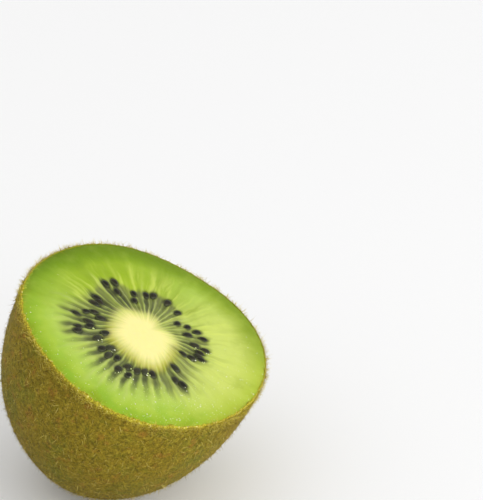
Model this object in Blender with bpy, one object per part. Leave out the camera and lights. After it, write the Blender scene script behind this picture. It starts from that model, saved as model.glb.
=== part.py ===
"""Half of a kiwi fruit, cut across its middle and resting on its rounded stem end.

It is one solid. Skin, flesh and core grow together, and the seeds that the knife laid open stand out of the
cut face. Metres, +Z up. The cut face leans towards -Y, and the origin is under the middle of the fruit, on what
it rests on.
"""

import math
import random

import bmesh
import bpy
from mathutils import Matrix, Vector, noise

# Driving dimensions of the whole fruit, in metres
HALF_WIDTH = 0.0241  # across the narrow way, which is the way that the half leans
HALF_BREADTH = 0.0270  # across the broad way
HALF_LENGTH = 0.0336  # from the cut's edge to the stem end
BLUNTNESS = 2.15  # 2 is an ellipse, and more is a blunter end
CUT_LEAN = math.radians(23.3)  # how far the cut face leans from level
SECTION_TURN = math.radians(-4.4)  # how far the broad way is turned from level

# The cut's outline is an oval with these low lobes: number round it, height as a share, and place
LOBES = (
    (3, 0.0168, math.radians(128)),
    (4, 0.0097, math.radians(124)),
    (5, 0.0070, math.radians(-78)),
)
SKIN_UNEVENNESS = 0.00035
SKIN_BUMP_SPACING = 0.016

# Relief of the cut face
CROWN = 0.0006  # the flesh swells this far in the middle
RIM_ROUNDING = 0.0004  # and rounds down this far of it close to the skin
TROUGH = 0.0004  # the ring of seeds sinks this far
TROUGH_SHARE = 0.45
TROUGH_SPREAD = 0.13
CROWN_POWER = 4
RIM_POWER = 40  # the higher, the closer to the skin the rounding stays

# The foot is the small flat that a soft fruit gets where it lies
FOOT_DEPTH = 0.00045

# The scar that the stem leaves: a shallow dish with a woody stub in it
SCAR_RADIUS = 0.0027
SCAR_DEPTH = 0.0007
STUB_RADIUS = 0.0012
STUB_TIP_RADIUS = 0.0010
STUB_HEIGHT = 0.0004
STUB_ROOT = 0.0012  # how far it reaches into the fruit

# Seeds, lying in the chambers round the core
SEED_LENGTH = 0.0021
SEED_WIDTH = 0.0014
SEED_THICKNESS = 0.0012
SEED_PROUD = 0.00035
SEED_TAPER = 0.28
SEED_TWIST = math.radians(22)  # the most that one is turned out of its radius
SEED_SIZES = (0.86, 1.12)
SEED_RANDOM = 7

# Narrow chambers stand all round the core, numbered from the lowest edge. Those that the cut laid open show
# one seed, or one from each of their two rows, this far out as a share of the way to the skin.
CHAMBER_COUNT = 48
ROW_OFFSET = 0.22  # of a chamber's width, to each side of its middle
SEED_SHARES = {
    0: (0.34, 0.41), 1: (0.48, 0.45), 2: (0.45,), 3: (0.49, 0.40), 5: (0.48, 0.35), 6: (0.45,), 7: (0.39,),
    8: (0.32,), 10: (0.44,), 12: (0.48,), 14: (0.48,), 15: (0.45,), 17: (0.43, 0.34), 19: (0.55, 0.45),
    20: (0.55,), 23: (0.47, 0.43), 24: (0.45,), 26: (0.42, 0.48), 27: (0.36, 0.56), 28: (0.46,),
    29: (0.46, 0.57), 30: (0.59, 0.36), 31: (0.45,), 33: (0.48, 0.41), 34: (0.48,), 35: (0.44,), 36: (0.54,),
    37: (0.46, 0.55), 38: (0.46,), 39: (0.44,), 40: (0.45,), 43: (0.52, 0.58), 44: (0.40,),
}

# Fineness of the solid
SEGMENTS = 64
RINGS = 44
SCAR_SEGMENTS = 24
STUB_SEGMENTS = 12
SEED_SEGMENTS = 8
SEED_RINGS = 5
SHARPEST_SMOOTH = math.radians(35)


def clear_scene():
    for obj in list(bpy.data.objects):
        bpy.data.objects.remove(obj)


def new_collection(name):
    collection = bpy.data.collections.new(name)
    bpy.context.scene.collection.children.link(collection)
    return collection


def outline(angle):
    """The cut's radius at an angle, as a share of the plain oval's."""
    return 1 + sum(height * math.cos(count * angle - place) for count, height, place in LOBES)


def face_height(share):
    """Height of the cut face over its edge, at a share of the way from its middle to the skin."""
    swell = (CROWN - RIM_ROUNDING) * (1 - share**CROWN_POWER) + RIM_ROUNDING * (1 - share**RIM_POWER)
    return swell - TROUGH * math.exp(-(((share - TROUGH_SHARE) / TROUGH_SPREAD) ** 2))


def across(angle, share):
    """A place across the fruit, in its section's own axes."""
    reach = outline(angle) * share
    return HALF_WIDTH * reach * math.cos(angle), HALF_BREADTH * reach * math.sin(angle)


def face_point(angle, share):
    x, y = across(angle, share)
    return Vector((x, y, face_height(share)))


def skin_point(angle, fall):
    """A place on the skin, where fall runs from 0 at the cut to a quarter turn at the stem end."""
    narrowing = math.cos(fall) ** (2 / BLUNTNESS)
    depth = math.sin(fall) ** (2 / BLUNTNESS)
    x, y = across(angle, narrowing)
    point = Vector((x, y, -HALF_LENGTH * depth))
    bump = noise.noise(point / SKIN_BUMP_SPACING) * SKIN_UNEVENNESS * depth
    return point + point.normalized() * bump


def lay_over_fruit(point):
    """Takes a unit sphere's upper half to the cut face and its lower half to the skin."""
    angle = math.atan2(point.y, point.x)
    latitude = math.asin(max(-1.0, min(1.0, point.z)))
    if latitude >= 0:
        return face_point(angle, 1 - latitude / (math.pi / 2))
    return skin_point(angle, min(-latitude, math.pi / 2 - 1e-6))


def object_from(mesh_maker, name, collection):
    """A named object whose mesh the maker fills."""
    mesh = bpy.data.meshes.new(name)
    obj = bpy.data.objects.new(name, mesh)
    collection.objects.link(obj)
    shape = bmesh.new()
    mesh_maker(shape)
    shape.to_mesh(mesh)
    shape.free()
    return obj


def make_fruit(shape):
    bmesh.ops.create_uvsphere(shape, u_segments=SEGMENTS, v_segments=RINGS, radius=1)
    for vertex in shape.verts:
        vertex.co = lay_over_fruit(vertex.co)
    up = standing().transposed() @ Vector((0, 0, 1))
    foot = min(vertex.co.dot(up) for vertex in shape.verts) + FOOT_DEPTH
    everything = shape.verts[:] + shape.edges[:] + shape.faces[:]
    cut = bmesh.ops.bisect_plane(shape, geom=everything, plane_co=up * foot, plane_no=up, clear_inner=True)
    edges = [item for item in cut["geom_cut"] if isinstance(item, bmesh.types.BMEdge)]
    bmesh.ops.holes_fill(shape, edges=edges)
    bmesh.ops.recalc_face_normals(shape, faces=shape.faces)


def make_seed(shape):
    """A flat drop with its narrow end towards the core, which is towards -X."""
    bmesh.ops.create_uvsphere(shape, u_segments=SEED_SEGMENTS, v_segments=SEED_RINGS, radius=0.5)
    size = Vector((SEED_LENGTH, SEED_WIDTH, SEED_THICKNESS))
    for vertex in shape.verts:
        slim = 1 + SEED_TAPER * 2 * vertex.co.x
        vertex.co = Vector((vertex.co.x, vertex.co.y * slim, vertex.co.z)) * size


def make_scar_cutter(shape):
    """A lens that dishes the stem end."""
    bmesh.ops.create_uvsphere(shape, u_segments=SCAR_SEGMENTS, v_segments=SCAR_SEGMENTS // 2, radius=1)
    bmesh.ops.scale(shape, verts=shape.verts, vec=(SCAR_RADIUS, SCAR_RADIUS, 2 * SCAR_DEPTH))


def make_stub(shape):
    """What is left of the stem, with its tip at the origin and pointing down."""
    long = STUB_HEIGHT + STUB_ROOT
    bmesh.ops.create_cone(
        shape, cap_ends=True, segments=STUB_SEGMENTS, radius1=STUB_TIP_RADIUS, radius2=STUB_RADIUS, depth=long
    )
    bmesh.ops.translate(shape, verts=shape.verts, vec=(0, 0, long / 2))


def seed_places():
    """Where each seed lies on the cut face, with its turn from the radius and its size."""
    draw = random.Random(SEED_RANDOM)
    step = 2 * math.pi / CHAMBER_COUNT
    for chamber, shares in SEED_SHARES.items():
        for row, share in enumerate(shares):
            offset = ROW_OFFSET * (2 * row - 1) if len(shares) == 2 else 0
            twist = draw.uniform(-SEED_TWIST, SEED_TWIST)
            yield step * (chamber + offset), share, twist, draw.uniform(*SEED_SIZES)


def add_seeds(collection):
    for number, (angle, share, turn, size) in enumerate(seed_places()):
        seed = object_from(make_seed, f"seed_{number}", collection)
        place = face_point(angle, share)
        radius_heading = math.atan2(place.y, place.x)
        sink = SEED_THICKNESS * size / 2 - SEED_PROUD
        place.z -= sink
        seed.matrix_world = (
            Matrix.Translation(place) @ Matrix.Rotation(radius_heading + turn, 4, "Z") @ Matrix.Scale(size, 4)
        )


def apply_boolean(target, operation, collection):
    """Cuts or joins a whole collection, then removes it."""
    for obj in collection.objects:
        obj.hide_render = True
        obj.display_type = "WIRE"
    modifier = target.modifiers.new(operation.lower(), "BOOLEAN")
    modifier.operation = operation
    modifier.operand_type = "COLLECTION"
    modifier.collection = collection
    modifier.solver = "EXACT"
    graph = bpy.context.evaluated_depsgraph_get()
    mesh = bpy.data.meshes.new_from_object(target.evaluated_get(graph))
    target.modifiers.clear()
    target.data = mesh
    for obj in list(collection.objects):
        bpy.data.objects.remove(obj)
    bpy.data.collections.remove(collection)


def fruit_material():
    material = bpy.data.materials.new("kiwi_fruit")
    material.use_nodes = True
    shader = material.node_tree.nodes["Principled BSDF"]
    shader.inputs["Base Color"].default_value = (0.28, 0.42, 0.05, 1)
    shader.inputs["Roughness"].default_value = 0.45
    shader.inputs["Metallic"].default_value = 0
    return material


def standing():
    """Turns the section's own axes to the way that the half stands: face leaning to -Y, broad way along X."""
    return Matrix.Rotation(CUT_LEAN, 3, "X") @ Matrix.Rotation(SECTION_TURN - math.pi / 2, 3, "Z")


def stand_on_ground(fruit):
    """Sets the half on its foot, with the origin under the middle of its box."""
    fruit.data.transform(standing().to_4x4())
    points = [vertex.co for vertex in fruit.data.vertices]
    low = Vector([min(point[axis] for point in points) for axis in range(3)])
    high = Vector([max(point[axis] for point in points) for axis in range(3)])
    middle = (low + high) / 2
    fruit.data.transform(Matrix.Translation((-middle.x, -middle.y, -low.z)))


def build():
    clear_scene()
    parts = new_collection("kiwi_fruit_half")
    fruit = object_from(make_fruit, "kiwi_half", parts)

    cutters = new_collection("cutters")
    dish = object_from(make_scar_cutter, "scar_cutter", cutters)
    dish.location.z = -HALF_LENGTH - SCAR_DEPTH
    apply_boolean(fruit, "DIFFERENCE", cutters)

    grown_on = new_collection("seeds_and_stub")
    stub = object_from(make_stub, "stub", grown_on)
    stub.location.z = -HALF_LENGTH + SCAR_DEPTH - STUB_HEIGHT
    add_seeds(grown_on)
    apply_boolean(fruit, "UNION", grown_on)

    stand_on_ground(fruit)
    fruit.data.materials.clear()
    fruit.data.materials.append(fruit_material())
    fruit.data.shade_smooth()
    fruit.data.set_sharp_from_angle(angle=SHARPEST_SMOOTH)


build()
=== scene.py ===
import math
import random

import bmesh
import bpy
import numpy as np
from mathutils import Matrix, Vector, noise


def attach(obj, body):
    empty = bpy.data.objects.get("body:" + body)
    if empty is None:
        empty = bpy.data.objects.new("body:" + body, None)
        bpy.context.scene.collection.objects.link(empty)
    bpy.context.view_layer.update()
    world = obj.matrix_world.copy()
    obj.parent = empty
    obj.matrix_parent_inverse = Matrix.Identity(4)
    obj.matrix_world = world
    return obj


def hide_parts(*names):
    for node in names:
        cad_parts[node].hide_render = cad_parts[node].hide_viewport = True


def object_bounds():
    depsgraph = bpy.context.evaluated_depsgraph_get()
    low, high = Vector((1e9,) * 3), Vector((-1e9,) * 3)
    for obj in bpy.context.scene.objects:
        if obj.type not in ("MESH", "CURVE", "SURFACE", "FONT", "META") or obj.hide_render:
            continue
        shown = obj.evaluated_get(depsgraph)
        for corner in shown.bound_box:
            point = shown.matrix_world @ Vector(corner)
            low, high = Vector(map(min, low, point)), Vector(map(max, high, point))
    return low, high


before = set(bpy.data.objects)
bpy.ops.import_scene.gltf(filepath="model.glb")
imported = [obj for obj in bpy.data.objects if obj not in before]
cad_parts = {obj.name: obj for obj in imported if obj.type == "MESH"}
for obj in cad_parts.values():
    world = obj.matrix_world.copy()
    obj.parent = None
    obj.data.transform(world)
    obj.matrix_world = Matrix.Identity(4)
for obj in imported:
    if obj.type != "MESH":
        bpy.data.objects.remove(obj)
solid_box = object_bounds()

# The table and the light
# A plain white table top under a big soft window of light above and to the right of the viewer, with a
# white room round it that fills the shadows. The camera looks down at 30 degrees.

CUT_MIDDLE = Vector((0.000604, -0.002287, 0.032082))
VIEW_FROM = Vector((-0.8357, -0.2270, 0.5)).normalized()
VIEW_DISTANCE = 0.4454
PHOTO_WIDTH, PHOTO_HEIGHT = 483, 500
CUT_MIDDLE_IN_PHOTO = (145.0, 333.3)
LENS_IN_PIXELS = 2400
TABLE_SIZE = 4.0
ROOM_BRIGHTNESS = 0.80


def light_panel(name, heading, distance, size, watts):
    """A square of light that faces the fruit."""
    data = bpy.data.lights.new(name, "AREA")
    data.size = size
    data.energy = watts
    panel = bpy.data.objects.new(name, data)
    heading = Vector(heading).normalized()
    panel.location = CUT_MIDDLE + heading * distance
    panel.rotation_euler = heading.to_track_quat("Z", "Y").to_euler()
    bpy.context.collection.objects.link(panel)


def aim_camera():
    """Looks at the cut's middle so that it falls where the photo has it, with the horizon level."""
    data = bpy.data.cameras.new("view")
    data.lens = LENS_IN_PIXELS * data.sensor_width / PHOTO_HEIGHT
    camera = bpy.data.objects.new("view", data)
    right = Vector((0, 0, 1)).cross(VIEW_FROM).normalized()
    straight = Matrix((right, VIEW_FROM.cross(right), VIEW_FROM)).transposed()
    off_x = (CUT_MIDDLE_IN_PHOTO[0] - PHOTO_WIDTH / 2) / LENS_IN_PIXELS
    off_y = (PHOTO_HEIGHT / 2 - CUT_MIDDLE_IN_PHOTO[1]) / LENS_IN_PIXELS
    aside = Vector((off_x, off_y, -1)).rotation_difference(Vector((0, 0, -1)))
    camera.matrix_world = (straight @ aside.to_matrix()).to_4x4()
    camera.location = CUT_MIDDLE + VIEW_FROM * VIEW_DISTANCE
    bpy.context.collection.objects.link(camera)
    bpy.context.scene.camera = camera


aim_camera()
light_panel("window", heading=(-0.15, -0.88, 0.45), distance=3.0, size=1.5, watts=36)
light_panel("low_window", heading=(-0.50, -0.84, 0.22), distance=0.8, size=0.3, watts=1.1)

room = bpy.data.worlds.new("white_room")
room.use_nodes = True
room.node_tree.nodes["Background"].inputs["Color"].default_value = (1, 1, 1, 1)
room.node_tree.nodes["Background"].inputs["Strength"].default_value = ROOM_BRIGHTNESS
bpy.context.scene.world = room
bpy.context.scene.view_settings.view_transform = "Standard"


def new_object(name, shape):
    """Makes a finished bmesh an object of its own."""
    mesh = bpy.data.meshes.new(name)
    shape.to_mesh(mesh)
    shape.free()
    piece = bpy.data.objects.new(name, mesh)
    bpy.context.collection.objects.link(piece)
    return piece


def new_material(name, roughness):
    material = bpy.data.materials.new(name)
    material.use_nodes = True
    tree = material.node_tree
    shader = tree.nodes["Principled BSDF"]
    shader.inputs["Roughness"].default_value = roughness
    return material, tree, shader


table_shape = bmesh.new()
bmesh.ops.create_grid(table_shape, x_segments=4, y_segments=4, size=TABLE_SIZE / 2)
table = new_object("table_top", table_shape)
table_material, tree, shader = new_material("white_table", roughness=0.6)
shader.inputs["Base Color"].default_value = (0.96, 0.96, 0.96, 1)
table.data.materials.append(table_material)


# Flesh
# The green flesh with its pale core, cut flat by a knife across the middle of the fruit. About forty narrow
# chambers of clear jelly stand round the core with thin pale walls between them, and hold the seeds. It is
# moist and lets light in a little way.

HALF_WIDTH = 0.0241
HALF_BREADTH = 0.0270
HALF_LENGTH = 0.0336
BLUNTNESS = 2.15
CUT_LEAN = math.radians(23.3)
SECTION_TURN = math.radians(-4.4)
LOBES = (
    (3, 0.0168, math.radians(128)),
    (4, 0.0097, math.radians(124)),
    (5, 0.0070, math.radians(-78)),
)
CROWN = 0.0006
RIM_ROUNDING = 0.0004
TROUGH = 0.0004
TROUGH_SHARE = 0.45
TROUGH_SPREAD = 0.13
CROWN_POWER = 4
RIM_POWER = 40
FLESH_SHARE = 0.986  # the flesh ends inside the thickness of the skin
SCAR_RADIUS = 0.0027
SCAR_DEPTH = 0.0007
FLOOR_GAP = 0.0003

AROUND = 540
FACE_RINGS = 124
UNDER_RINGS = 40

CHAMBER_COUNT = 48
ROW_OFFSET = 0.22
SEED_SHARES = {
    0: (0.34, 0.41), 1: (0.48, 0.45), 2: (0.45,), 3: (0.49, 0.40), 5: (0.48, 0.35), 6: (0.45,), 7: (0.39,),
    8: (0.32,), 10: (0.44,), 12: (0.48,), 14: (0.48,), 15: (0.45,), 17: (0.43, 0.34), 19: (0.55, 0.45),
    20: (0.55,), 23: (0.47, 0.43), 24: (0.45,), 26: (0.42, 0.48), 27: (0.36, 0.56), 28: (0.46,),
    29: (0.46, 0.57), 30: (0.59, 0.36), 31: (0.45,), 33: (0.48, 0.41), 34: (0.48,), 35: (0.44,), 36: (0.54,),
    37: (0.46, 0.55), 38: (0.46,), 39: (0.44,), 40: (0.45,), 43: (0.52, 0.58), 44: (0.40,),
}
SEED_TWIST = math.radians(22)
SEED_SIZES = (0.86, 1.12)
SEED_RANDOM = 7
CHAMBER_RANDOM, WALL_RANDOM, VEIN_RANDOM, DEEP_SEED_RANDOM = 21, 33, 52, 5

CORE_SHARE = 0.237
CORE_LOBES = (
    (1, 0.0865, math.radians(-91)),
    (2, 0.0226, math.radians(-98)),
    (4, 0.0077, math.radians(74)),
    (5, 0.0199, math.radians(100)),
)
CORE_EDGE = 0.100
CHAMBERS_PER_SLOT = 0.78  # the solid's slots for seeds stand a little closer than the chambers do
TIP_SHARES = (0.50, 0.81)  # where the chambers' tips lie, on the far side and on the low side
TIP_PAST_SEEDS = 0.07
LOW_SIDE = math.radians(262)
FRINGE_HEADING = math.radians(285)  # where the olive tissue round the core is thickest
TIP_NARROWING = 0.6  # how much of its width a chamber has lost at its tip
SEED_BLUR_LENGTH = 0.00120
SEED_BLUR_WIDTH = 0.00082
CHAMBER_SINK = 0.00016
WALL_RISE = 0.00008
CUT_GRAIN = 0.00003
WAVER = 0.031

# Painted light and shade: lit and shaded copies of the flesh's greens, lighter and yellower on the side of
# the cut towards the light and darker on the side away from it.
PAINTED_LIGHT_HEADING = math.radians(12)
PAINTED_SHADE_HEADING = math.radians(143)
GREENS = (
    (0.40, (0.36, 0.44, 0.080, 1)), (0.62, (0.39, 0.52, 0.080, 1)), (0.75, (0.41, 0.56, 0.082, 1)),
    (0.86, (0.36, 0.51, 0.046, 1)), (0.94, (0.28, 0.42, 0.022, 1)), (0.985, (0.25, 0.35, 0.014, 1)),
)
PAINTED_LIGHT_GREENS = (
    (0.40, (0.56, 0.66, 0.130, 1)), (0.60, (0.575, 0.66, 0.150, 1)), (0.75, (0.55, 0.63, 0.133, 1)),
    (0.86, (0.475, 0.565, 0.085, 1)), (0.94, (0.41, 0.51, 0.053, 1)), (0.985, (0.37, 0.44, 0.038, 1)),
)
PAINTED_SHADE_GREENS = (
    (0.40, (0.37, 0.49, 0.028, 1)), (0.62, (0.285, 0.415, 0.016, 1)), (0.75, (0.285, 0.42, 0.017, 1)),
    (0.86, (0.170, 0.300, 0.005, 1)), (0.94, (0.100, 0.200, 0.002, 1)), (0.985, (0.08, 0.135, 0.002, 1)),
)
FAINT_JELLY_HEADING = math.radians(54)  # towards this heading the jelly and the chambers are mixed in more faintly
FAR_HEADING = math.radians(98)
# Painted shade: a dark green band near the skin on the far side of the cut.
PAINTED_SHADE_FAR_BAND = (0.15, 0.24, 0.004, 1)
STREAK_DARK = (0.20, 0.28, 0.018, 1)
STREAK_PALE = (0.66, 0.74, 0.140, 1)
JELLY = (0.22, 0.24, 0.068, 1)
JELLY_DARK = (0.088, 0.104, 0.042, 1)
JADE = (0.24, 0.44, 0.028, 1)
SEED_SHADOW = (0.014, 0.014, 0.009, 1)
WALL_PALE = (0.42, 0.50, 0.145, 1)
FRINGE_OLIVE = (0.36, 0.375, 0.018, 1)
CORE_CREAM = (0.88, 0.80, 0.32, 1)
EDGE_GOLD = (0.34, 0.45, 0.030, 1)
GLOW = 0.35  # the share of light that comes back from inside the flesh
GLOW_RADIUS = (0.9, 1.0, 0.3)
GLOW_DEPTH = 0.0005


def outline(angle):
    return 1 + sum(height * np.cos(count * angle - place) for count, height, place in LOBES)


def on_cut(angle, share):
    reach = outline(angle) * share
    return HALF_WIDTH * reach * np.cos(angle), HALF_BREADTH * reach * np.sin(angle)


def face_height(share):
    swell = (CROWN - RIM_ROUNDING) * (1 - share**CROWN_POWER) + RIM_ROUNDING * (1 - share**RIM_POWER)
    return swell - TROUGH * np.exp(-(((share - TROUGH_SHARE) / TROUGH_SPREAD) ** 2))


def skin_place(angle, fall):
    """Where the skin is, in the section's axes: fall is 0 at the cut and a quarter turn at the stem end."""
    narrowing = np.cos(fall) ** (2 / BLUNTNESS)
    depth = np.sin(fall) ** (2 / BLUNTNESS)
    x, y = on_cut(angle, narrowing)
    return np.stack([x, y, -HALF_LENGTH * depth], axis=-1)


def dished(places, inside):
    """Pushes in the stem end's scar, inside being how far these places lie within the skin as a share."""
    away = np.hypot(places[:, 0], places[:, 1]) / SCAR_RADIUS
    height = -HALF_LENGTH * (1 - inside) - SCAR_DEPTH + 2 * SCAR_DEPTH * np.sqrt(np.clip(1 - away**2, 0, 1))
    at_stem = (away < 1) & (places[:, 2] < -0.9 * HALF_LENGTH)
    places[:, 2] = np.where(at_stem, np.maximum(places[:, 2], height), places[:, 2])
    return places


STANDING = Matrix.Rotation(CUT_LEAN, 3, "X") @ Matrix.Rotation(SECTION_TURN - math.pi / 2, 3, "Z")
STANDING_ROWS = np.array(STANDING)


def stand(points):
    """Section axes to the way the half stands on the table."""
    return points @ STANDING_ROWS.T + np.array(CUT_MIDDLE)


def smooth_step(low, high, value):
    t = np.clip((value - low) / (high - low), 0, 1)
    return t * t * (3 - 2 * t)


def seed_places():
    """The same places, twists and sizes as the solid's seeds have."""
    draw = random.Random(SEED_RANDOM)
    step = 2 * math.pi / CHAMBER_COUNT
    for chamber, shares in SEED_SHARES.items():
        for row, share in enumerate(shares):
            offset = ROW_OFFSET * (2 * row - 1) if len(shares) == 2 else 0
            twist = draw.uniform(-SEED_TWIST, SEED_TWIST)
            yield step * (chamber + offset), share, twist, draw.uniform(*SEED_SIZES)


def apart_round(angle, other):
    return (angle - other + math.pi) % (2 * math.pi) - math.pi


def core_edge(angle):
    return CORE_SHARE + sum(height * np.cos(count * angle - place) for count, height, place in CORE_LOBES)


def low_side(angle):
    """1 towards the low side of the cut, where the chambers are cut longest, and 0 on the far side."""
    return smooth_step(-0.5, 0.8, np.cos(angle - LOW_SIDE))


def chambers():
    """Rows of each chamber's middle, half width, the outer end of its seeds, its tip and its darkness."""
    draw = random.Random(CHAMBER_RANDOM)
    step = 2 * math.pi / CHAMBER_COUNT
    slots = sorted(SEED_SHARES)
    rows = []
    for slot, after in zip(slots, slots[1:] + [slots[0] + CHAMBER_COUNT]):
        here, there = (max(SEED_SHARES[place % CHAMBER_COUNT]) for place in (slot, after))
        parts = max(1, round((after - slot) * CHAMBERS_PER_SLOT))
        for part in range(parts):
            way = part / parts
            middle = step * (slot + (after - slot) * way)
            seeds_end = here + (there - here) * way
            tip = TIP_SHARES[0] + (TIP_SHARES[1] - TIP_SHARES[0]) * float(low_side(middle))
            tip = max(tip, seeds_end + TIP_PAST_SEEDS) + draw.uniform(-0.035, 0.035)
            own_shade = 1.0 if part == 0 else draw.uniform(0.6, 0.9)
            dark = own_shade * (0.50 + 0.50 * smooth_step(0.34, 0.48, seeds_end))
            rows.append((middle, seeds_end, tip, dark))
    middles = np.array([row[0] for row in rows])
    walls = (middles + np.append(middles[1:], middles[0] + 2 * math.pi)) / 2
    halves = (walls - np.append(walls[-1] - 2 * math.pi, walls[:-1])) / 2
    return [(walls[index] - halves[index], halves[index], *rows[index][1:]) for index in range(len(rows))]


def round_the_ring(angle, column):
    """A value of the chambers carried smoothly from one to the next."""
    rows = chambers()
    return np.interp(angle, [row[0] for row in rows], [row[column] for row in rows], period=2 * math.pi)


def chamber_field(angle, share):
    """1 in the middle of a chamber and 0 on its walls and beyond its tip, which narrows to a point."""
    shade = np.zeros_like(angle)
    start = core_edge(angle)
    for middle, half, seeds_end, tip, dark in chambers():
        past = np.clip((share - seeds_end) / (tip - seeds_end), 0, 1)
        half_here = half * (1 - TIP_NARROWING * past)
        across = 1 - smooth_step(0.35, 1.0, np.abs(apart_round(angle, middle)) / half_here)
        along = smooth_step(start + 0.01, start + 0.09, share) * (1 - smooth_step(0.20, 1.0, past))
        shade = np.maximum(shade, dark * across * along)
    return shade


def jelly_field(angle, share):
    """1 in the ring that holds the chambers, which is darker throughout than the flesh outside it."""
    start = core_edge(angle)
    end = np.maximum(round_the_ring(angle, 2), 0.36 + 0.10 * low_side(angle))
    fade = 0.065 + 0.155 * low_side(angle)
    return smooth_step(start - 0.01, start + 0.06, share) * (1 - smooth_step(end - 0.01, end + fade, share))


def fringe_field(angle, share):
    """1 just outside the core on the low side, where the tissue is a clear olive yellow."""
    start = core_edge(angle)
    low = smooth_step(-0.35, 0.75, np.cos(angle - FRINGE_HEADING))
    begun = smooth_step(start - 0.03, start + 0.02, share)
    return low * begun * (1 - smooth_step(start + 0.05, start + 0.13, share))


def wall_field(angle, share):
    """1 along the pale walls between the chambers."""
    draw = random.Random(WALL_RANDOM)
    shade = np.zeros_like(angle)
    start = core_edge(angle)
    for middle, half, seeds_end, tip, dark in chambers():
        across = np.exp(-((apart_round(angle, middle + half) / draw.uniform(0.016, 0.030)) ** 2))
        end = tip + draw.uniform(0.02, 0.14)
        along = smooth_step(start - 0.02, start + 0.05, share) * (1 - smooth_step(end - 0.25, end, share))
        shade = np.maximum(shade, draw.uniform(0.55, 1.0) * across * along)
    return shade


def vein_field(angle, share):
    """1 along the pale streaks that carry the walls on through the flesh outside the chambers."""
    draw = random.Random(VEIN_RANDOM)
    shade = np.zeros_like(angle)
    for middle, half, seeds_end, tip, dark in chambers():
        place = middle + half * draw.uniform(0.7, 1.3)
        width = draw.uniform(0.012, 0.026) * (0.6 + 0.9 * share)
        across = np.exp(-((apart_round(angle, place) / width) ** 2))
        end = draw.uniform(0.62, 0.92)
        begun = smooth_step(seeds_end - 0.04, seeds_end + 0.06, share)
        along = begun * (1 - smooth_step(end - 0.28, end, share))
        strength = draw.uniform(0.2, 1.0) * (1 - 0.5 * float(low_side(middle)))
        shade = np.maximum(shade, strength * across * along)
    return shade


def deep_seed_field(angle, share):
    """Dark blurred shapes where seeds lie a little below the cut, and round the ones that show."""
    draw = random.Random(DEEP_SEED_RANDOM)
    x, y = on_cut(angle, share)
    darkest = np.zeros_like(angle)
    for seed_angle, seed_share, twist, size in seed_places():
        for deep in (False, True):
            if deep:
                seed_angle += math.radians(draw.uniform(-2, 2))
                seed_share += draw.uniform(0.05, 0.10) * (1 if draw.random() < low_side(seed_angle) else -1)
            seed_x, seed_y = on_cut(np.array(seed_angle), seed_share)
            heading = math.atan2(seed_y, seed_x) + twist
            along = (x - seed_x) * math.cos(heading) + (y - seed_y) * math.sin(heading)
            aside = (y - seed_y) * math.cos(heading) - (x - seed_x) * math.sin(heading)
            far = np.hypot(along / (SEED_BLUR_LENGTH * size), aside / (SEED_BLUR_WIDTH * size))
            if deep:
                shade = draw.uniform(0.1, 0.55) * (1 - smooth_step(0.1, 1.7, far))
            else:
                shade = 0.9 * (1 - smooth_step(0.6, 1.5, far))
            darkest = np.maximum(darkest, shade)
    return darkest


def core_field(angle, share):
    """1 in the core and 0 outside, with a soft and uneven edge."""
    round_core = np.stack([np.cos(angle), np.sin(angle), 0 * angle], axis=-1)
    edge = core_edge(angle) + 0.012 * wavy(round_core, 0.16, 8) + 0.035 * wavy(round_core, 0.055, 13)
    return 1 - smooth_step(edge - CORE_EDGE, edge + CORE_EDGE, share)


def spun(profile, steps):
    """A profile of (radius, height) points turned about the upright axis."""
    shape = bmesh.new()
    points = [shape.verts.new((radius, 0, height)) for radius, height in profile]
    edges = [shape.edges.new(pair) for pair in zip(points, points[1:])]
    bmesh.ops.spin(
        shape, geom=points + edges, cent=(0, 0, 0), axis=(0, 0, 1),
        angle=2 * math.pi, steps=steps, use_merge=True,
    )
    bmesh.ops.remove_doubles(shape, verts=shape.verts, dist=1e-6)
    bmesh.ops.recalc_face_normals(shape, faces=shape.faces)
    return shape


def corners(piece):
    places = np.empty(len(piece.data.vertices) * 3)
    piece.data.vertices.foreach_get("co", places)
    return places.reshape(-1, 3)


def set_corners(piece, places):
    piece.data.vertices.foreach_set("co", places.ravel())
    piece.data.update()


def write_field(piece, name, values):
    kind = "FLOAT_VECTOR" if values.ndim == 2 else "FLOAT"
    attribute = piece.data.attributes.new(name, kind, "POINT")
    attribute.data.foreach_set("vector" if values.ndim == 2 else "value", values.astype(np.float32).ravel())


def wavy(places, spacing, seed):
    """Smooth noise from -1 to 1 at each place."""
    offset = Vector((seed * 7.1, seed * 3.7, seed * 1.3))
    return np.array([noise.noise(Vector(place) / spacing + offset) for place in places])


face_profile = [(FLESH_SHARE * ring / FACE_RINGS, 0.0) for ring in range(FACE_RINGS + 1)]
under_profile = [
    (FLESH_SHARE * math.cos(fall), -FLESH_SHARE * math.sin(fall))
    for fall in np.linspace(0, math.pi / 2, UNDER_RINGS + 1)[1:]
]
flesh = new_object("flesh", spun(face_profile + under_profile, AROUND))
plain = corners(flesh)
angles = np.arctan2(plain[:, 1], plain[:, 0])
radii = np.hypot(plain[:, 0], plain[:, 1])
on_face = plain[:, 2] > -1e-5
x, y = on_cut(angles, radii)
flat_places = np.stack([x, y, np.zeros_like(x)], axis=-1)
wavering = WAVER * wavy(flat_places, 0.0034, 6) + 0.4 * WAVER * wavy(flat_places, 0.0013, 7)
bent_angles = angles + wavering * smooth_step(0.12, 0.35, radii)
chamber_shade = chamber_field(bent_angles, radii)
wall_shade = wall_field(bent_angles, radii)
cut_grain = wavy(flat_places, 0.0011, 1)
relief = face_height(radii) - CHAMBER_SINK * chamber_shade + WALL_RISE * wall_shade + CUT_GRAIN * cut_grain
face_places = np.stack([x, y, relief], axis=-1)
under_places = dished(FLESH_SHARE * skin_place(angles, np.arctan2(-plain[:, 2], radii)), 1 - FLESH_SHARE)
standing_places = stand(np.where(on_face[:, None], face_places, under_places))
standing_places[:, 2] = np.maximum(standing_places[:, 2], FLOOR_GAP)
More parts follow.
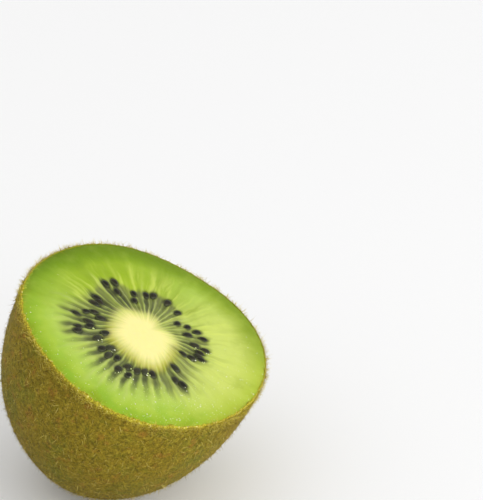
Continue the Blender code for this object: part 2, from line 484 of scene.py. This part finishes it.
set_corners(flesh, standing_places)
bent_places = np.stack([radii * np.cos(bent_angles), radii * np.sin(bent_angles), 0 * radii], axis=-1)
write_field(flesh, "place", bent_places)
write_field(flesh, "chamber", np.where(on_face, chamber_shade, 0))
write_field(flesh, "jelly", np.where(on_face, jelly_field(bent_angles, radii), 0))
write_field(flesh, "fringe", np.where(on_face, fringe_field(bent_angles, radii), 0))
write_field(flesh, "wall", np.where(on_face, wall_shade, 0))
write_field(flesh, "vein", np.where(on_face, vein_field(bent_angles, radii), 0))
write_field(flesh, "deep_seed", np.where(on_face, deep_seed_field(angles, radii), 0))
write_field(flesh, "core", np.where(on_face, core_field(bent_angles, radii), 0))
flesh.data.shade_smooth()


def add(tree, kind, **settings):
    node = tree.nodes.new("ShaderNode" + kind)
    for name, value in settings.items():
        setattr(node, name, value)
    return node


def feed(tree, node, **inputs):
    """Sets or links a node's inputs by name, with _ for a blank."""
    for name, value in inputs.items():
        socket = node.inputs[name.replace("_", " ")]
        if isinstance(value, bpy.types.NodeSocket):
            tree.links.new(value, socket)
        else:
            socket.default_value = value
    return node


def sums(tree, operation, first, second=0.0, third=0.0):
    node = add(tree, "Math", operation=operation)
    for socket, value in zip(node.inputs, (first, second, third)):
        if isinstance(value, bpy.types.NodeSocket):
            tree.links.new(value, socket)
        else:
            socket.default_value = value
    return node.outputs["Value"]


def mixed(tree, factor, first, second):
    """One colour over another."""
    node = add(tree, "Mix", data_type="RGBA")
    for socket, value in ((node.inputs[0], factor), (node.inputs[6], first), (node.inputs[7], second)):
        if isinstance(value, bpy.types.NodeSocket):
            tree.links.new(value, socket)
        else:
            socket.default_value = value
    return node.outputs[2]


def ramp(tree, factor, *stops):
    node = add(tree, "ValToRGB")
    elements = node.color_ramp.elements
    while len(elements) < len(stops):
        elements.new(0.5)
    for element, (place, colour) in zip(elements, stops):
        element.position = place
        element.color = colour
    tree.links.new(factor, node.inputs["Fac"])
    return node.outputs["Color"]


def ranged(tree, value, low, high, to_low=0.0, to_high=1.0):
    node = add(tree, "MapRange", interpolation_type="SMOOTHSTEP")
    feed(tree, node, Value=value, From_Min=low, From_Max=high, To_Min=to_low, To_Max=to_high)
    return node.outputs["Result"]


def grain(tree, vector, scale, detail=3.0, roughness=0.55):
    node = feed(tree, add(tree, "TexNoise"), Vector=vector, Scale=scale, Detail=detail, Roughness=roughness)
    return node.outputs["Fac"]


def field(tree, name, output="Fac"):
    return add(tree, "Attribute", attribute_name=name).outputs[output]


def ray_grain(tree, heading, share, count, stretch, detail):
    """Noise drawn out along the radius, with about count rays in a full turn."""
    turned = add(tree, "VectorMath", operation="SCALE")
    tree.links.new(heading, turned.inputs[0])
    turned.inputs["Scale"].default_value = count / (2 * math.pi)
    outward = feed(tree, add(tree, "CombineXYZ"), Z=sums(tree, "MULTIPLY", share, stretch)).outputs[0]
    joined = add(tree, "VectorMath", operation="ADD")
    tree.links.new(turned.outputs[0], joined.inputs[0])
    tree.links.new(outward, joined.inputs[1])
    return grain(tree, joined.outputs[0], 1.0, detail)


def towards(tree, heading, angle):
    """1 where the heading points at the angle, falling to -1 on the other side."""
    node = add(tree, "VectorMath", operation="DOT_PRODUCT")
    tree.links.new(heading, node.inputs[0])
    node.inputs[1].default_value = (math.cos(angle), math.sin(angle), 0)
    return node.outputs["Value"]


def flesh_material():
    material, tree, shader = new_material("moist_green_flesh", roughness=0.42)
    place = field(tree, "place", "Vector")
    share = add(tree, "VectorMath", operation="LENGTH")
    tree.links.new(place, share.inputs[0])
    share = share.outputs["Value"]
    heading = add(tree, "VectorMath", operation="NORMALIZE")
    tree.links.new(place, heading.inputs[0])
    heading = heading.outputs["Vector"]
    body = add(tree, "TexCoord").outputs["Object"]

    rays = ray_grain(tree, heading, share, 42, 1.6, 2.0)
    fine_rays = ray_grain(tree, heading, share, 105, 2.6, 3.0)
    clouds = grain(tree, body, 190, 3.0)
    cells = grain(tree, body, 1900, 2.0)

    uneven = sums(tree, "MULTIPLY_ADD", rays, 0.14, -0.07)
    uneven_share = sums(tree, "ADD", share, uneven)
    green = ramp(tree, uneven_share, *GREENS)
    # Painted shade on the side of the cut away from the light, then painted light on the side towards it.
    painted_shade_side = ranged(tree, towards(tree, heading, PAINTED_SHADE_HEADING), 0.3, 1.05)
    green = mixed(tree, painted_shade_side, green, ramp(tree, uneven_share, *PAINTED_SHADE_GREENS))
    painted_light_side = ranged(tree, towards(tree, heading, PAINTED_LIGHT_HEADING), 0.3, 0.95)
    green = mixed(tree, painted_light_side, green, ramp(tree, uneven_share, *PAINTED_LIGHT_GREENS))

    # Painted shade: the flesh near the skin on the far side of the cut is darkened.
    far_side = ranged(tree, towards(tree, heading, FAR_HEADING), 0.0, 0.7, 0.0, 0.75)
    painted_far_shade = sums(tree, "MULTIPLY", far_side, ranged(tree, uneven_share, 0.70, 0.97))
    green = mixed(tree, painted_far_shade, green, PAINTED_SHADE_FAR_BAND)
    streaked = ranged(tree, share, 0.90, 0.50)
    upper_side = ranged(tree, towards(tree, heading, FAR_HEADING), -0.4, 0.8, 0.35, 1.0)
    dark_rays = sums(tree, "MULTIPLY", ranged(tree, rays, 0.48, 0.72, 0.0, 0.60), streaked)
    green = mixed(tree, sums(tree, "MULTIPLY", dark_rays, upper_side), green, STREAK_DARK)
    pale_rays = sums(tree, "MULTIPLY", ranged(tree, fine_rays, 0.50, 0.70, 0.0, 0.50), streaked)
    green = mixed(tree, pale_rays, green, STREAK_PALE)
    green = mixed(tree, ranged(tree, clouds, 0.50, 0.72, 0.0, 0.10), green, STREAK_PALE)
    green = mixed(tree, ranged(tree, clouds, 0.50, 0.28, 0.0, 0.22), green, STREAK_DARK)
    low_side_here = ranged(tree, towards(tree, heading, LOW_SIDE), 0.2, 0.8)
    patches = ranged(tree, grain(tree, body, 300, 3.0), 0.40, 0.66, 0.0, 0.55)
    low_patches = sums(tree, "MULTIPLY", patches, low_side_here)
    green = mixed(tree, sums(tree, "MULTIPLY", low_patches, ranged(tree, share, 0.70, 0.92)), green, JADE)
    green = mixed(tree, sums(tree, "MULTIPLY", field(tree, "vein"), 0.50), green, STREAK_PALE)

    jelly_strength = ranged(tree, towards(tree, heading, FAINT_JELLY_HEADING), 0.70, 1.0, 1.0, 0.62)
    jelly = sums(tree, "MULTIPLY", field(tree, "jelly"), ranged(tree, fine_rays, 0.37, 0.63, 1.00, 0.50))
    green = mixed(tree, sums(tree, "MULTIPLY", jelly, jelly_strength), green, JELLY)
    green = mixed(tree, field(tree, "fringe"), green, FRINGE_OLIVE)
    chamber = sums(tree, "MULTIPLY", field(tree, "chamber"), ranged(tree, fine_rays, 0.35, 0.7, 0.90, 0.60))
    green = mixed(tree, sums(tree, "MULTIPLY", chamber, jelly_strength), green, JELLY_DARK)
    wall = sums(tree, "MULTIPLY", field(tree, "wall"), ranged(tree, fine_rays, 0.3, 0.65, 0.54, 0.88))
    wall = sums(tree, "MULTIPLY", wall, ranged(tree, field(tree, "fringe"), 0.0, 1.0, 1.0, 0.65))
    wall = sums(tree, "MULTIPLY", wall, ranged(tree, share, 0.44, 0.60, 1.0, 0.70))
    green = mixed(tree, wall, green, WALL_PALE)
    green = mixed(tree, field(tree, "deep_seed"), green, SEED_SHADOW)
    green = mixed(tree, field(tree, "core"), green, CORE_CREAM)
    frayed = sums(tree, "MULTIPLY_ADD", grain(tree, body, 900, 3.0, 0.65), 0.10, share)
    at_skin = ranged(tree, frayed, 1.016, 1.040, 0.0, 0.9)
    at_low_skin = sums(tree, "MULTIPLY", at_skin, ranged(tree, upper_side, 0.9, 0.4))
    green = mixed(tree, at_low_skin, green, EDGE_GOLD)
    tree.links.new(green, shader.inputs["Base Color"])
    tree.links.new(ranged(tree, cells, 0.3, 0.7, 0.32, 0.5), shader.inputs["Roughness"])
    bump = feed(tree, add(tree, "Bump"), Height=cells, Strength=0.25, Distance=0.00012)
    tree.links.new(bump.outputs["Normal"], shader.inputs["Normal"])
    shader.inputs["Subsurface Weight"].default_value = GLOW
    shader.inputs["Subsurface Radius"].default_value = GLOW_RADIUS
    shader.inputs["Subsurface Scale"].default_value = GLOW_DEPTH
    shader.inputs["Specular IOR Level"].default_value = 0.07
    return material


flesh.data.materials.append(flesh_material())
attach(flesh, "root")
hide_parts("kiwi_half")


# Seeds
# Small flat drops, nearly black, with their narrow ends towards the core. They lie in the jelly of their
# chambers, and the knife left their tops bare and wet.

SEED_LENGTH = 0.0021
SEED_WIDTH = 0.0014
SEED_THICKNESS = 0.0012
SEED_PROUD = 0.00035
SEED_TAPER = 0.28
FILM_RANDOM = 9
SEED_BLACK = (0.011, 0.010, 0.006, 1)
SEED_BROWN = (0.034, 0.026, 0.013, 1)
SEED_FILM = (0.070, 0.078, 0.038, 1)


def one_seed():
    shape = bmesh.new()
    bmesh.ops.create_uvsphere(shape, u_segments=20, v_segments=14, radius=0.5)
    size = Vector((SEED_LENGTH, SEED_WIDTH, SEED_THICKNESS))
    for corner in shape.verts:
        slim = 1 + SEED_TAPER * 2 * corner.co.x
        corner.co = Vector((corner.co.x, corner.co.y * slim, corner.co.z)) * size
    bmesh.ops.triangulate(shape, faces=shape.faces)
    return shape


def joined_copies(name, patterns, moves):
    """One mesh of many copies of small shapes, taken in turn, one for each 4 by 4 matrix of moves."""
    corner_rows, faces, first = [], [], 0
    for turn, pattern in enumerate(patterns):
        pattern.verts.ensure_lookup_table()
        rest = np.array([corner.co for corner in pattern.verts])
        pattern_faces = np.array([[corner.index for corner in face.verts] for face in pattern.faces])
        pattern.free()
        own = moves[turn::len(patterns)]
        turned = np.einsum("nij,vj->nvi", own[:, :3, :3], rest) + own[:, None, :3, 3]
        starts = first + len(rest) * np.arange(len(own))
        corner_rows.append(turned.reshape(-1, 3))
        faces.append((starts[:, None, None] + pattern_faces[None]).reshape(-1, pattern_faces.shape[1]))
        first += turned.size // 3
    mesh = bpy.data.meshes.new(name)
    mesh.from_pydata(np.concatenate(corner_rows), [], np.concatenate(faces).tolist())
    mesh.shade_smooth()
    piece = bpy.data.objects.new(name, mesh)
    bpy.context.collection.objects.link(piece)
    return piece


def seed_matrices():
    whole = Matrix.Translation(CUT_MIDDLE) @ STANDING.to_4x4()
    for angle, share, twist, size in seed_places():
        x, y = on_cut(np.array(angle), share)
        place = Vector((x, y, face_height(share) - SEED_THICKNESS * size / 2 + SEED_PROUD))
        turn = Matrix.Rotation(math.atan2(y, x) + twist, 4, "Z")
        yield whole @ Matrix.Translation(place) @ turn @ Matrix.Scale(size, 4)


def seed_material():
    material, tree, shader = new_material("wet_black_seed", roughness=0.42)
    body = add(tree, "TexCoord").outputs["Object"]
    patches = grain(tree, body, 700, 2.0)
    bare = ramp(tree, patches, (0.45, SEED_BLACK), (0.72, SEED_BROWN))
    at_foot = ranged(tree, field(tree, "rise"), 0.70, 0.02, 0.0, 0.9)
    covered = sums(tree, "MAXIMUM", at_foot, field(tree, "film"))
    tree.links.new(mixed(tree, covered, bare, SEED_FILM), shader.inputs["Base Color"])
    pits = grain(tree, body, 5000, 2.0)
    bump = feed(tree, add(tree, "Bump"), Height=pits, Strength=0.2, Distance=0.00005)
    tree.links.new(bump.outputs["Normal"], shader.inputs["Normal"])
    shader.inputs["Specular IOR Level"].default_value = 0.15
    return material


seed_moves = np.array(list(seed_matrices()))
seed_pattern = one_seed()
pattern_heights = np.array([corner.co.z for corner in seed_pattern.verts])
rises = (pattern_heights - SEED_THICKNESS / 2 + SEED_PROUD) / SEED_PROUD
draw = random.Random(FILM_RANDOM)
films = [
    draw.uniform(0.0, 0.12 + 0.38 * float(low_side(angle - 0.5)))
    for angle, share, twist, size in seed_places()
]
seeds = joined_copies("seeds", [seed_pattern], seed_moves)
write_field(seeds, "rise", np.tile(rises, len(seed_moves)))
write_field(seeds, "film", np.repeat(films, len(rises)))
seeds.data.materials.append(seed_material())
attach(seeds, "root")


# Skin
# The thin brown skin, half a millimetre thick, dull and finely wrinkled, with mottled olive and reddish
# patches. The knife left its edge a little frayed round the cut.

SKIN_INNER = 0.980
LIP_RISE = 0.00016
FINE_WRINKLES = 0.00005
SLOW_WAVES = 0.00018
EDGE_LUMPS = 0.00016
INNER_FLOOR_GAP = 0.0004
SKIN_AROUND = 600
SKIN_OLIVE = (0.26, 0.190, 0.012, 1)
SKIN_RED = (0.36, 0.150, 0.024, 1)
SKIN_GREEN = (0.165, 0.175, 0.012, 1)
SKIN_DARK = (0.062, 0.048, 0.004, 1)
SKIN_LIGHT = (0.44, 0.330, 0.032, 1)
RIM_GOLD = (0.67, 0.61, 0.045, 1)
RIM_BROWN = (0.32, 0.25, 0.012, 1)
RIM_PALE = (0.95, 0.88, 0.36, 1)
RIM_OLIVE = (0.26, 0.29, 0.020, 1)
RIM_BAND = (0.0005, 0.0015)
RIM_OVERLAP = 0.013

falls = np.concatenate([
    np.linspace(0, 0.05, 12),
    np.linspace(0.06, 1.44, 70),
    np.linspace(1.45, math.pi / 2, 14),
])
outer_wall = [(math.cos(fall), -math.sin(fall)) for fall in falls]
inner_wall = [(SKIN_INNER * math.cos(fall), -SKIN_INNER * math.sin(fall)) for fall in falls[::3]]
inner_wall.append((0.0, -SKIN_INNER))
lip = [(SKIN_INNER + 0.006, 0.004), (0.995, 0.004)]
skin = new_object("skin", spun(list(reversed(inner_wall)) + lip + outer_wall, SKIN_AROUND))
plain = corners(skin)
angles = np.arctan2(plain[:, 1], plain[:, 0])
radii = np.hypot(plain[:, 0], plain[:, 1])
falls_here = np.arctan2(np.maximum(-plain[:, 2], 0), radii)
scale = np.hypot(radii, np.minimum(plain[:, 2], 0))
places = scale[:, None] * skin_place(angles, falls_here)
outside = scale > 0.999
wrinkles = wavy(places, 0.0016, 2) * FINE_WRINKLES + wavy(places, 0.016, 3) * SLOW_WAVES
heading = places / np.linalg.norm(places, axis=1)[:, None]
places += heading * (wrinkles * outside)[:, None]
lumps = EDGE_LUMPS * wavy(places, 0.0009, 17) * np.exp(-falls_here / 0.04)
places += heading * (lumps * outside)[:, None]
near_cut = np.exp(-falls_here / 0.02)
around_rim = np.stack([np.cos(angles), np.sin(angles), 0 * angles], axis=-1)
fraying = 0.00010 * wavy(around_rim, 0.024, 4) + 0.00008 * wavy(around_rim, 0.07, 9)
places[:, 2] += near_cut * fraying + np.where(plain[:, 2] > 0, LIP_RISE, 0)
lip_edge = (plain[:, 2] > 0) & (radii < 0.99)
overlap = RIM_OVERLAP * np.clip(wavy(around_rim, 0.045, 14) + 0.7 * wavy(around_rim, 0.017, 15), -0.2, 1)
torn = 0.00014 + 0.00016 * wavy(around_rim, 0.026, 16)
places[:, :2] *= np.where(lip_edge, 1 - overlap, 1)[:, None]
places[:, 2] = np.where(lip_edge, face_height(radii * (1 - overlap)) + torn, places[:, 2])
write_field(skin, "section", around_rim)
write_field(skin, "depth", -places[:, 2])
standing_places = stand(dished(places, 1 - scale))
standing_places[:, 2] = np.maximum(standing_places[:, 2], np.where(outside, 0.0, INNER_FLOOR_GAP))
set_corners(skin, standing_places)
skin.data.shade_smooth()


def skin_material():
    material, tree, shader = new_material("dull_brown_skin", roughness=0.72)
    body = add(tree, "TexCoord").outputs["Object"]
    wide = grain(tree, body, 95, 3.0)
    middling = grain(tree, body, 420, 3.0, 0.6)
    small = grain(tree, body, 1500, 3.0, 0.65)
    fine = grain(tree, body, 3600, 2.0, 0.6)
    brown = mixed(tree, ranged(tree, wide, 0.48, 0.66, 0.0, 0.65), SKIN_OLIVE, SKIN_GREEN)
    brown = mixed(tree, ranged(tree, middling, 0.55, 0.70, 0.0, 0.55), brown, SKIN_RED)
    brown = mixed(tree, ranged(tree, middling, 0.46, 0.32, 0.0, 0.45), brown, SKIN_GREEN)
    brown = mixed(tree, ranged(tree, small, 0.50, 0.34, 0.0, 0.60), brown, SKIN_DARK)
    brown = mixed(tree, ranged(tree, small, 0.53, 0.68, 0.0, 0.65), brown, SKIN_LIGHT)
    brown = mixed(tree, ranged(tree, fine, 0.52, 0.36, 0.0, 0.55), brown, SKIN_DARK)
    # Painted shade: the skin is darkened the further it lies below the cut, towards the end that rests on
    # the table.
    brown = mixed(tree, ranged(tree, field(tree, "depth"), 0.006, 0.032, 0.0, 0.34), brown, SKIN_DARK)
    frayed_depth = sums(tree, "MULTIPLY_ADD", small, 0.0016, field(tree, "depth"))
    band = ranged(tree, frayed_depth, RIM_BAND[1], RIM_BAND[0], 0.0, 0.90)
    gold = mixed(tree, ranged(tree, fine, 0.60, 0.46, 0.0, 0.95), RIM_GOLD, RIM_BROWN)
    gold = mixed(tree, ranged(tree, grain(tree, body, 2300, 2.0), 0.60, 0.68, 0.0, 0.85), gold, RIM_PALE)
    section = field(tree, "section", "Vector")
    far_side = ranged(tree, towards(tree, section, FAR_HEADING), -0.3, 0.6, 0.0, 0.8)
    gold = mixed(tree, far_side, gold, RIM_OLIVE)
    brown = mixed(tree, band, brown, gold)
    tree.links.new(brown, shader.inputs["Base Color"])
    rough = sums(tree, "ADD", middling, small)
    bump = feed(tree, add(tree, "Bump"), Height=rough, Strength=0.5, Distance=0.00025)
    tree.links.new(bump.outputs["Normal"], shader.inputs["Normal"])
    shader.inputs["Specular IOR Level"].default_value = 0.12
    return material


skin.data.materials.append(skin_material())
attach(skin, "root")
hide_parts("kiwi_half")


# Stem scar
# What is left of the stem: a short dry woody stub that stands in the dish at the end of the fruit, torn off
# across its grain.

STUB_RADIUS = 0.0012
STUB_TIP_RADIUS = 0.0010
STUB_HEIGHT = 0.0004
STUB_ROOT = 0.0012
BARK_BROWN = (0.16, 0.105, 0.035, 1)
BARK_DARK = (0.045, 0.028, 0.012, 1)


def stub_shape():
    """A stub with rounded ends that points down from the dish, in the section's axes."""
    low = -HALF_LENGTH + SCAR_DEPTH - STUB_HEIGHT
    long = STUB_HEIGHT + STUB_ROOT
    torn_end = [(0, low + 0.00010), (0.5, low + 0.00006), (0.85, low), (1.0, low + 0.00012)]
    profile = torn_end + [(1.0, low + long)]
    heights = [height for _, height in profile]
    widths = np.interp(heights, [low, low + long], [STUB_TIP_RADIUS, STUB_RADIUS])
    points = [(share * width, height) for (share, height), width in zip(profile, widths)]
    return spun(points + [(0, low + long)], 40)


def bark_material():
    material, tree, shader = new_material("dry_stem_wood", roughness=0.85)
    body = add(tree, "TexCoord").outputs["Object"]
    fibres = grain(tree, body, 2600, 3.0)
    tree.links.new(ramp(tree, fibres, (0.35, BARK_DARK), (0.65, BARK_BROWN)), shader.inputs["Base Color"])
    bump = feed(tree, add(tree, "Bump"), Height=fibres, Strength=0.6, Distance=0.0001)
    tree.links.new(bump.outputs["Normal"], shader.inputs["Normal"])
    return material


stub = new_object("stem_stub", stub_shape())
stub_places = corners(stub)
ragged = 1 + 0.10 * wavy(stub_places, 0.0006, 11)
stub_places[:, :2] *= ragged[:, None]
set_corners(stub, stand(stub_places))
stub.data.shade_smooth()
stub.data.materials.append(bark_material())
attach(stub, "root")


# Fuzz
# Short stiff golden hairs that cover the whole skin: a dense down, longer bent hairs among it, and a fringe
# that stands out along the knife's cut. Each hair is a thin three-sided spike rooted in the skin.

DOWN_COUNT = 24000
DOWN_LENGTH = 0.00045
DOWN_WIDTH = 0.000055
HAIR_COUNT = 11500
HAIR_LENGTH = 0.0013
HAIR_WIDTH = 0.000082
FRINGE_COUNT = 5200
FRINGE_LENGTH = 0.0012
FRINGE_TUFTS = 240
HAIR_JOINTS = 3
HAIR_ROOT = 0.00004  # how deep a hair is set in the skin
HAIR_BENDS = (0.15, 0.55, -0.35, 0.9)
TUFTED = 0.5  # the share of the fringe that stands in tufts
FUZZ_RANDOM = 12
STAND_OUT = 0.0006  # the most that a hair reaches past the solid's box
HAIR_DARK = (0.17, 0.120, 0.010, 1)
HAIR_GOLD = (0.42, 0.31, 0.028, 1)
HAIR_PALE = (0.88, 0.72, 0.20, 1)
FRINGE_GOLD = (0.66, 0.58, 0.070, 1)
DOWN_PALE = (0.50, 0.37, 0.040, 1)


def one_hair(length, width, joints, bend):
    """A spike along +Z with its root at the origin, bent towards +X."""
    shape = bmesh.new()
    bmesh.ops.create_cone(shape, segments=3, cap_ends=True, radius1=width / 2, radius2=0, depth=length)
    bmesh.ops.translate(shape, verts=shape.verts, vec=(0, 0, length / 2))
    bmesh.ops.remove_doubles(shape, verts=shape.verts, dist=1e-8)
    for joint in range(1, joints):
        level = length * joint / joints
        everything = shape.verts[:] + shape.edges[:] + shape.faces[:]
        bmesh.ops.bisect_plane(shape, geom=everything, plane_co=(0, 0, level), plane_no=(0, 0, 1))
    for corner in shape.verts:
        up = corner.co.z / length
        fatter = 1 + 0.9 * up * (1 - up)
        bent = bend * length * up * up
        corner.co = Vector((corner.co.x * fatter + bent, corner.co.y * fatter, corner.co.z))
    bmesh.ops.triangulate(shape, faces=shape.faces)
    return shape


def skin_frames(angles, falls):
    """Places on the skin with the way out, the way to the stem end and the way round, as rows."""
    nudge = 1e-4
    places = skin_place(angles, falls)
    down = skin_place(angles, falls + nudge) - places
    around = skin_place(angles + nudge, falls) - places
    down /= np.linalg.norm(down, axis=1)[:, None]
    around /= np.linalg.norm(around, axis=1)[:, None]
    out = np.cross(around, down)
    out *= np.sign(np.sum(out * places, axis=1))[:, None]
    out /= np.linalg.norm(out, axis=1)[:, None]
    return places, out, down, around


def hair_moves(angles, falls, leans, swings, sizes):
    """Each hair leans from the way out by its lean, towards its swing from the way to the stem end."""
    places, out, down, around = skin_frames(angles, falls)
    aside = down * np.cos(swings)[:, None] + around * np.sin(swings)[:, None]
    up = out * np.cos(leans)[:, None] + aside * np.sin(leans)[:, None]
    bent_to = aside * np.cos(leans)[:, None] - out * np.sin(leans)[:, None]
    side = np.cross(up, bent_to)
    moves = np.zeros((len(angles), 4, 4))
    turns = np.stack([bent_to, side, up], axis=-1) * sizes[:, None, None]
    moves[:, :3, :3] = np.einsum("ij,njk->nik", STANDING_ROWS, turns)
    moves[:, :3, 3] = stand(places - out * HAIR_ROOT)
    moves[:, 3, 3] = 1
    return moves


def keep_inside(piece):
    """No hair goes into the table or further out than the solid's box and the little that fuzz may add."""
    low, high = (np.array(corner) for corner in solid_box)
    places = corners(piece)
    floor = np.array([low[0] - STAND_OUT, low[1] - STAND_OUT, 0.0])
    set_corners(piece, np.clip(places, floor, high + STAND_OUT))


def hair_material(name, dark, middle, pale):
    material, tree, shader = new_material(name, roughness=0.55)
    tone = ramp(tree, field(tree, "tone"), (0.0, dark), (0.5, middle), (1.0, pale))
    body = add(tree, "TexCoord").outputs["Object"]
    patchy = ranged(tree, grain(tree, body, 320, 2.0), 0.4, 0.65, 0.0, 0.45)
    tree.links.new(mixed(tree, patchy, tone, dark), shader.inputs["Base Color"])
    shader.inputs["Specular IOR Level"].default_value = 0.1
    return material


def hair_coat(name, patterns, draw, angles, falls, leans, swings, sizes, material):
    corner_count = sum(len(pattern.verts) for pattern in patterns) // len(patterns)
    moves = hair_moves(angles, falls, leans, swings, sizes)
    coat = joined_copies(name, patterns, moves)
    tones = np.concatenate([draw.random(len(moves[turn::len(patterns)])) for turn in range(len(patterns))])
    write_field(coat, "tone", np.repeat(tones, corner_count))
    keep_inside(coat)
    coat.data.materials.append(material)
    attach(coat, "root")


draw = np.random.default_rng(FUZZ_RANDOM)
long_hairs = [one_hair(HAIR_LENGTH, HAIR_WIDTH, HAIR_JOINTS, bend) for bend in HAIR_BENDS]
fringe_hairs = [one_hair(FRINGE_LENGTH, HAIR_WIDTH, HAIR_JOINTS, bend) for bend in HAIR_BENDS]
golden = hair_material("golden_hair", HAIR_DARK, HAIR_GOLD, HAIR_PALE)
hair_coat(
    "skin_down", [one_hair(DOWN_LENGTH, DOWN_WIDTH, 1, 0.0)], draw,
    angles=draw.uniform(-math.pi, math.pi, DOWN_COUNT),
    falls=np.arcsin(draw.uniform(0.0, 0.9995, DOWN_COUNT)),
    leans=np.radians(draw.uniform(25, 75, DOWN_COUNT)),
    swings=draw.normal(0, 1.1, DOWN_COUNT),
    sizes=draw.uniform(0.6, 1.3, DOWN_COUNT),
    material=hair_material("golden_down", HAIR_DARK, HAIR_GOLD, DOWN_PALE),
)
hair_coat(
    "skin_hairs", long_hairs, draw,
    angles=draw.uniform(-math.pi, math.pi, HAIR_COUNT),
    falls=np.arcsin(draw.uniform(0.0, 0.9995, HAIR_COUNT)),
    leans=np.radians(draw.uniform(50, 86, HAIR_COUNT)),
    swings=draw.normal(0, 1.4, HAIR_COUNT),
    sizes=draw.uniform(0.45, 1.2, HAIR_COUNT),
    material=golden,
)
tufts = draw.uniform(-math.pi, math.pi, FRINGE_TUFTS)
in_tuft = tufts[draw.integers(0, FRINGE_TUFTS, FRINGE_COUNT)] + draw.normal(0, 0.008, FRINGE_COUNT)
hair_coat(
    "cut_edge_fringe", fringe_hairs, draw,
    angles=np.where(
        draw.random(FRINGE_COUNT) < TUFTED, in_tuft, draw.uniform(-math.pi, math.pi, FRINGE_COUNT),
    ),
    falls=np.abs(draw.normal(0, 0.014, FRINGE_COUNT)),
    leans=np.radians(draw.uniform(5, 120, FRINGE_COUNT)),
    swings=math.pi + draw.normal(0, 0.9, FRINGE_COUNT),
    sizes=draw.uniform(0.45, 1.15, FRINGE_COUNT) ** 1.3,
    material=hair_material("golden_fringe", HAIR_GOLD, FRINGE_GOLD, HAIR_PALE),
)


# Juice
# Beads of juice that the knife drew out. They reflect the lights, and their nearly white colour is a painted
# glint.
# They stand on the cut flesh, thickest on its low side, and a few larger ones lie against the seeds.

BEAD_COUNT = 900
BEAD_MIDDLE, BEAD_SPREAD = -50, 42  # degrees round the cut
BEAD_RADIUS = 0.00010
BEAD_FLATNESS = 0.7
BEAD_SINK = 0.45  # of its radius, below its middle
# Painted glints: the beads are coloured nearly white and pale yellow so that they show as bright specks, set
# mostly on the lower right of the cut, the side towards the light.
PAINTED_GLINT_YELLOW = (0.80, 0.90, 0.34, 1)
PAINTED_GLINT_WHITE = (1.0, 1.0, 0.80, 1)


def one_bead():
    shape = bmesh.new()
    bmesh.ops.create_icosphere(shape, subdivisions=2, radius=1)
    return shape


def bead_places(draw):
    """Each bead's place on the cut, its radius and how far it is moved from that place, aside and along."""
    for _ in range(BEAD_COUNT):
        angle = math.radians(draw.normal(BEAD_MIDDLE, BEAD_SPREAD))
        share = 0.60 + 0.38 * draw.uniform() ** 0.7
        yield angle, share, BEAD_RADIUS * (0.26 + 0.85 * draw.uniform() ** 5), 0.0, 0.0
    for angle, share, twist, size in seed_places():
        # Beads beside the seeds, as painted glints on each seed's right and lower right, mostly on the low
        # side of the cut.
        chance = 0.04 + 0.40 * float(low_side(angle - 0.7)) ** 2
        beside = draw.integers(2, 6) if draw.random() < chance else 0
        for _ in range(beside):
            aside = math.radians(draw.uniform(-75, 10))
            far = draw.uniform(0.0006, 0.0013)
            radius = BEAD_RADIUS * draw.uniform(0.5, 1.7)
            yield angle, share, radius, far * math.cos(aside), far * math.sin(aside)


def bead_matrices(draw):
    whole = Matrix.Translation(CUT_MIDDLE) @ STANDING.to_4x4()
    for angle, share, radius, shift_x, shift_y in bead_places(draw):
        x, y = on_cut(np.array(angle), share)
        level = face_height(share) + radius * (BEAD_FLATNESS - BEAD_SINK)
        place = Vector((x + shift_x, y + shift_y, level))
        flat = Matrix.Diagonal((radius * draw.uniform(0.7, 1.5), radius, radius * BEAD_FLATNESS, 1))
        yield whole @ Matrix.Translation(place) @ flat


def bead_material():
    material, tree, shader = new_material("juice_with_painted_glints", roughness=0.12)
    body = add(tree, "TexCoord").outputs["Object"]
    # Painted glints: a nearly white and pale yellow colour on juice beads that also reflect the lights.
    tint = ramp(tree, grain(tree, body, 400, 1.0), (0.45, PAINTED_GLINT_YELLOW), (0.62, PAINTED_GLINT_WHITE))
    tree.links.new(tint, shader.inputs["Base Color"])
    shader.inputs["IOR"].default_value = 1.36
    shader.inputs["Transmission Weight"].default_value = 0.15
    return material


beads = joined_copies("juice_beads_painted_glints", [one_bead()], np.array(list(bead_matrices(draw))))
beads.data.materials.append(bead_material())
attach(beads, "root")
